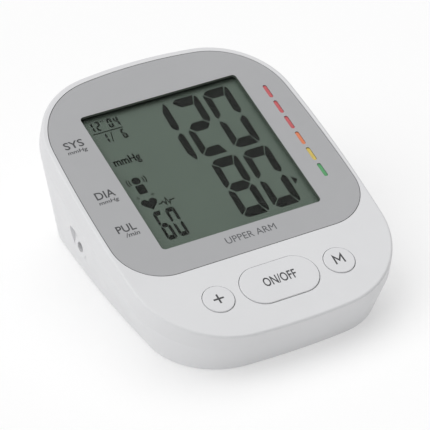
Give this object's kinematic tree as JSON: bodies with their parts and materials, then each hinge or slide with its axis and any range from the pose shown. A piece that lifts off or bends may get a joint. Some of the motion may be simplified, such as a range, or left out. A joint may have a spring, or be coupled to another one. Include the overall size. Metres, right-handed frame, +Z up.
{
  "type": "upper arm blood pressure monitor",
  "caption": "Desk-top upper arm blood pressure monitor: wedge-shaped white case with a large sloping display, buttons below it, and an air socket on the left.",
  "frame": {"origin": "centre of the footprint box on the table under the rubber feet", "axes": "+X to the user's right, +Y away from the user, +Z up; the panel rises to the back"},
  "size_m": [0.109, 0.1343, 0.0593],
  "materials": {
    "white_plastic": "satin moulded plastic",
    "button_plastic": "satin moulded plastic",
    "grey_faceplate": "satin printed acrylic",
    "clear_acrylic": "clear acrylic",
    "lcd": "grey-green reflective LCD",
    "red_mark": "red",
    "orange_mark": "orange",
    "yellow_mark": "yellow",
    "green_mark": "green",
    "black_plastic": "moulded",
    "grey_plastic": "moulded",
    "white_nylon": "moulded",
    "rubber": "soft rubber",
    "silicone": "silicone tube",
    "steel": "plated",
    "bronze": "sintered",
    "copper": "copper",
    "board_green": "solder mask",
    "cell_wrap": "printed wrap",
    "lead_insulation": "insulated wire"
  },
  "bodies": {
    "case": {"upper_housing": "white_plastic", "lower_housing": "white_plastic", "housing_screws": "steel", "rubber_feet": "rubber", "display_faceplate": "grey_faceplate", "red_level_marks": "red_mark", "orange_level_mark": "orange_mark", "yellow_level_mark": "yellow_mark", "green_level_mark": "green_mark", "display_window": "clear_acrylic", "lcd_glass": "lcd", "lcd_frame": "black_plastic", "zebra_strips": "rubber", "main_board": "board_green", "board_screws": "steel", "microcontroller": "black_plastic", "board_components": "grey_plastic", "buzzer": "black_plastic", "pressure_sensor": "grey_plastic", "tactile_switches": "black_plastic", "battery_cells": "cell_wrap", "battery_contacts": "copper", "battery_springs": "steel", "air_socket": "white_plastic", "air_manifold": "grey_plastic", "socket_tube": "silicone", "valve_tube": "silicone", "pump_tube": "silicone", "sensor_tube": "silicone", "motor_can": "steel", "motor_end_plate": "steel", "motor_bearings": "bronze", "motor_magnets": "steel", "pump_head": "grey_plastic", "pump_diaphragm": "rubber", "pump_rocker": "grey_plastic", "pump_cap": "grey_plastic", "pump_sleeve": "rubber", "valve_yoke": "steel", "valve_coil": "black_plastic", "valve_spring": "steel", "valve_nozzle": "black_plastic", "battery_leads": "lead_insulation", "motor_leads": "lead_insulation", "valve_leads": "lead_insulation"},
    "battery_door": {"battery_door": "white_plastic"},
    "power_button": {"power_button": "button_plastic", "power_switch_plunger": "white_nylon"},
    "plus_button": {"plus_button": "button_plastic", "plus_switch_plunger": "white_nylon"},
    "memory_button": {"memory_button": "button_plastic", "memory_switch_plunger": "white_nylon"},
    "motor_rotor": {"motor_rotor": "steel", "rotor_windings": "copper", "pump_eccentric": "white_nylon"},
    "valve_plunger": {"valve_plunger": "steel"}
  },
  "joints": [
    {"name": "power_button_press", "type": "slide", "parent": "case", "child": "power_button", "axis": [0, 0.3017, -0.9534], "range_m": [0, 0.0005], "stiffness_N_per_m": 2000, "springref_m": -0.0002},
    {"name": "plus_button_press", "type": "slide", "parent": "case", "child": "plus_button", "axis": [0, 0.3017, -0.9534], "range_m": [0, 0.0005], "stiffness_N_per_m": 2000, "springref_m": -0.0002},
    {"name": "memory_button_press", "type": "slide", "parent": "case", "child": "memory_button", "axis": [0, 0.3017, -0.9534], "range_m": [0, 0.0005], "stiffness_N_per_m": 2000, "springref_m": -0.0002},
    {"name": "battery_door_hinge", "type": "hinge", "parent": "case", "child": "battery_door", "pos_m": [0, -0.0187, 0.0019], "axis": [-1, 0, 0], "range_deg": [0, 95]},
    {"name": "motor_spin", "type": "hinge", "parent": "case", "child": "motor_rotor", "pos_m": [0, 0.0445, 0.03], "axis": [1, 0, 0], "continuous": true},
    {"name": "valve_plunger_slide", "type": "slide", "parent": "case", "child": "valve_plunger", "axis": [0, 0, 1], "range_m": [0, 0.0008], "stiffness_N_per_m": 200, "springref_m": -0.0005, "deforming": ["valve_spring"]}
  ]
}
